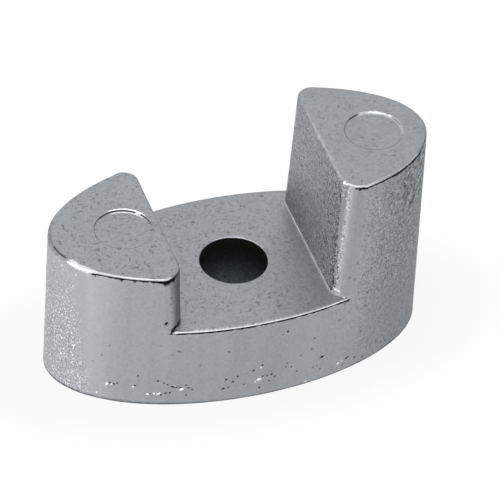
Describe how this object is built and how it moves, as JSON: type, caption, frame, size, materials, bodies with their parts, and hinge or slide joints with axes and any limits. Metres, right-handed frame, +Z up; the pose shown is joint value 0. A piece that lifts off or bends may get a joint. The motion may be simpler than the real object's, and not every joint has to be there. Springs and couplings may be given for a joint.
{
  "type": "sacrificial anode",
  "caption": "Cast grey anode with an elliptical base, a low and a high end lobe, and a through bolt hole in the recess between them.",
  "frame": {"origin": "centre of the flat base face", "axes": "+X along the long axis of the ellipse towards the high lobe, +Y along the short axis, +Z up along the bolt hole"},
  "size_m": [0.04, 0.0198, 0.0242],
  "materials": {
    "cast_zinc": "as-cast grey zinc alloy, satin, with fine grain and small pits"
  },
  "bodies": {
    "root": {"anode_casting": "cast_zinc"}
  },
  "joints": []
}
